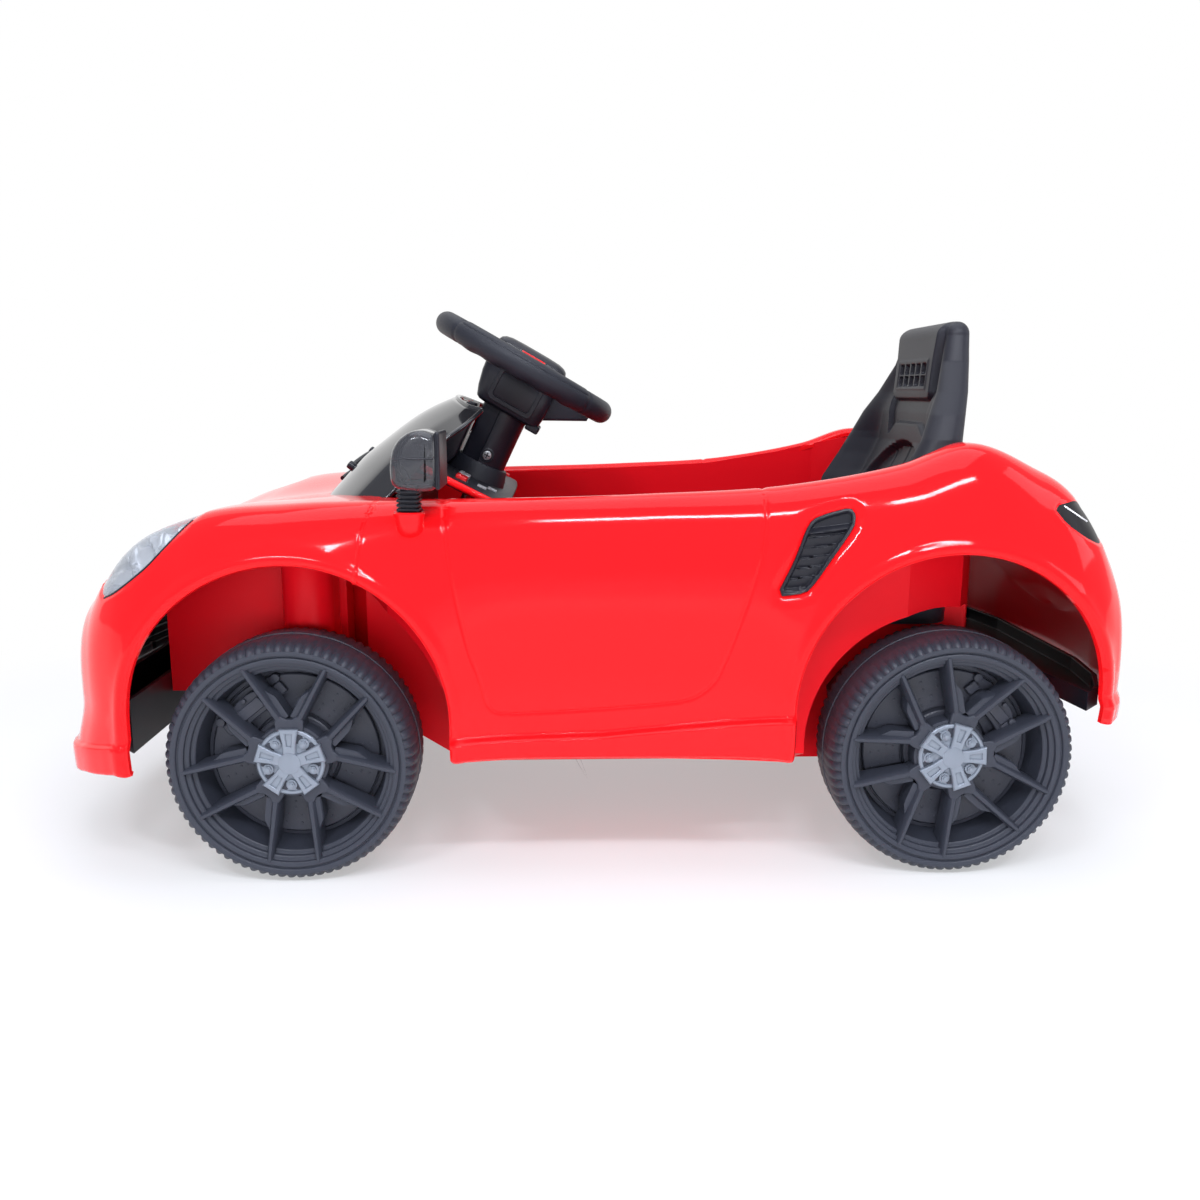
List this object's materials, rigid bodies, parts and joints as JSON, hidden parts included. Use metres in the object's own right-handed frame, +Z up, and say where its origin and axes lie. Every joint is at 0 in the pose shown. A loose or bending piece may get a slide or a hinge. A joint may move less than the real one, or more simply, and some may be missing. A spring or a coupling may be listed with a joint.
{
  "type": "child's electric ride-on car",
  "caption": "Red moulded electric ride-on car for a child: bucket cockpit, black seat and wraparound screen, steered front wheels linked to the steering wheel, motor-driven rear wheels.",
  "frame": {"origin": "on the floor under the middle of the bounding box", "axes": "+Z up, -X towards the nose, -Y towards the driver's left"},
  "size_m": [1.039, 0.55, 0.5219],
  "materials": {
    "red_body": "glossy moulded red",
    "screen": "glossy smoked black",
    "black_trim": "satin black",
    "grained_black": "fine grain matte black",
    "wheel_black": "matte dark grey",
    "silver": "metallic silver",
    "clear": "clear",
    "reflector": "bright plated",
    "dark_lens": "dark red lens",
    "steel": "zinc plated",
    "smoke": "smoky translucent",
    "mirror_face": "polished",
    "red_switch": "glossy red",
    "drive_grey": "matte",
    "battery_case": "matte",
    "motor_steel": "zinc"
  },
  "bodies": {
    "chassis": {"body_shell": "red_body", "cockpit_tub": "red_body", "windscreen": "screen", "dashboard": "grained_black", "front_grille": "black_trim", "front_crossmember": "black_trim", "rear_undertray": "black_trim", "seat": "grained_black", "seat_screws": "steel", "rear_axle": "steel", "rear_axle_nuts": "steel", "battery": "battery_case", "headlight_lens_left": "clear", "headlight_lens_right": "clear", "headlight_housing_left": "reflector", "headlight_housing_right": "reflector", "tail_lens_left": "dark_lens", "tail_lens_right": "dark_lens", "side_vent_left": "black_trim", "side_vent_right": "black_trim", "gearbox_left": "drive_grey", "gearbox_right": "drive_grey", "motor_left": "motor_steel", "motor_right": "motor_steel"},
    "steering": {"steering_rim": "grained_black", "steering_hub": "grained_black", "horn_pad": "black_trim", "steering_rod": "steel", "column_sleeve": "grained_black", "column_bolt": "steel"},
    "tie_rod": {"tie_rod": "steel"},
    "pedal": {"pedal": "black_trim"},
    "power_rocker": {"power_rocker": "red_switch"},
    "direction_rocker": {"direction_rocker": "black_trim"},
    "sound_button": {"sound_button": "black_trim"},
    "horn_left": {"horn_button_left": "black_trim"},
    "knuckle_left": {"knuckle_left": "steel", "axle_nut_front_left": "steel"},
    "wheel_front_left": {"wheel_outer_front_left": "wheel_black", "wheel_inner_front_left": "wheel_black", "hub_cap_front_left": "silver"},
    "wheel_rear_left": {"wheel_outer_rear_left": "wheel_black", "wheel_inner_rear_left": "wheel_black", "hub_cap_rear_left": "silver", "drive_dog_left": "drive_grey"},
    "mirror_left": {"mirror_housing_left": "smoke", "mirror_glass_left": "mirror_face"},
    "horn_right": {"horn_button_right": "black_trim"},
    "knuckle_right": {"knuckle_right": "steel", "axle_nut_front_right": "steel"},
    "wheel_front_right": {"wheel_outer_front_right": "wheel_black", "wheel_inner_front_right": "wheel_black", "hub_cap_front_right": "silver"},
    "wheel_rear_right": {"wheel_outer_rear_right": "wheel_black", "wheel_inner_rear_right": "wheel_black", "hub_cap_rear_right": "silver", "drive_dog_right": "drive_grey"},
    "mirror_right": {"mirror_housing_right": "smoke", "mirror_glass_right": "mirror_face"}
  },
  "joints": [
    {"name": "steering_turn", "type": "hinge", "parent": "chassis", "child": "steering", "pos_m": [-0.0685, 0, 0.464], "axis": [0.4321, 0, 0.9018], "range_deg": [-36, 36]},
    {"name": "tie_rod_pivot", "type": "hinge", "parent": "knuckle_left", "child": "tie_rod", "pos_m": [-0.2235, -0.145, 0.07965], "axis": [0, 0, 1], "range_deg": [-18.5, 18.5]},
    {"name": "pedal_press", "type": "hinge", "parent": "chassis", "child": "pedal", "pos_m": [-0.0545, 0.075, 0.084], "axis": [0, -1, 0], "range_deg": [0, 10], "stiffness_Nm_per_rad": 1.5, "springref_deg": -6.88},
    {"name": "power_rocker_tilt", "type": "hinge", "parent": "chassis", "child": "power_rocker", "pos_m": [-0.13081, -0.088, 0.35247], "axis": [0, 1, 0], "range_deg": [-6, 6]},
    {"name": "direction_rocker_tilt", "type": "hinge", "parent": "chassis", "child": "direction_rocker", "pos_m": [-0.13081, -0.06, 0.35247], "axis": [0, 1, 0], "range_deg": [-6, 6]},
    {"name": "sound_button_press", "type": "slide", "parent": "chassis", "child": "sound_button", "axis": [-0.4321, 0, -0.9018], "range_m": [0, 0.0025], "stiffness_N_per_m": 400, "springref_m": -0.001},
    {"name": "knuckle_left_turn", "type": "hinge", "parent": "chassis", "child": "knuckle_left", "pos_m": [-0.2735, -0.145, 0.1125], "axis": [0, 0, 1], "range_deg": [-18.5, 18.5]},
    {"name": "wheel_front_left_spin", "type": "hinge", "parent": "knuckle_left", "child": "wheel_front_left", "pos_m": [-0.2735, -0.211, 0.1125], "axis": [0, 1, 0], "continuous": true},
    {"name": "wheel_rear_left_spin", "type": "hinge", "parent": "chassis", "child": "wheel_rear_left", "pos_m": [0.3265, -0.211, 0.1125], "axis": [0, 1, 0], "continuous": true},
    {"name": "mirror_left_swing", "type": "hinge", "parent": "chassis", "child": "mirror_left", "pos_m": [-0.1605, -0.24, 0.357], "axis": [0, 0, 1], "range_deg": [-25, 25]},
    {"name": "horn_left_press", "type": "slide", "parent": "steering", "child": "horn_left", "axis": [-0.4939, 0, -0.8695], "range_m": [0, 0.002], "stiffness_N_per_m": 400, "springref_m": -0.001},
    {"name": "knuckle_right_turn", "type": "hinge", "parent": "chassis", "child": "knuckle_right", "pos_m": [-0.2735, 0.145, 0.1125], "axis": [0, 0, 1], "range_deg": [-18.5, 18.5]},
    {"name": "wheel_front_right_spin", "type": "hinge", "parent": "knuckle_right", "child": "wheel_front_right", "pos_m": [-0.2735, 0.211, 0.1125], "axis": [0, 1, 0], "continuous": true},
    {"name": "wheel_rear_right_spin", "type": "hinge", "parent": "chassis", "child": "wheel_rear_right", "pos_m": [0.3265, 0.211, 0.1125], "axis": [0, 1, 0], "continuous": true},
    {"name": "mirror_right_swing", "type": "hinge", "parent": "chassis", "child": "mirror_right", "pos_m": [-0.1605, 0.24, 0.357], "axis": [0, 0, 1], "range_deg": [-25, 25]},
    {"name": "horn_right_press", "type": "slide", "parent": "steering", "child": "horn_right", "axis": [-0.4939, 0, -0.8695], "range_m": [0, 0.002], "stiffness_N_per_m": 400, "springref_m": -0.001}
  ],
  "couplings": [
    {"joint": "knuckle_left_turn", "follows": "steering_turn", "ratio": 0.5},
    {"joint": "knuckle_right_turn", "follows": "steering_turn", "ratio": 0.5},
    {"joint": "tie_rod_pivot", "follows": "steering_turn", "ratio": -0.5}
  ]
}
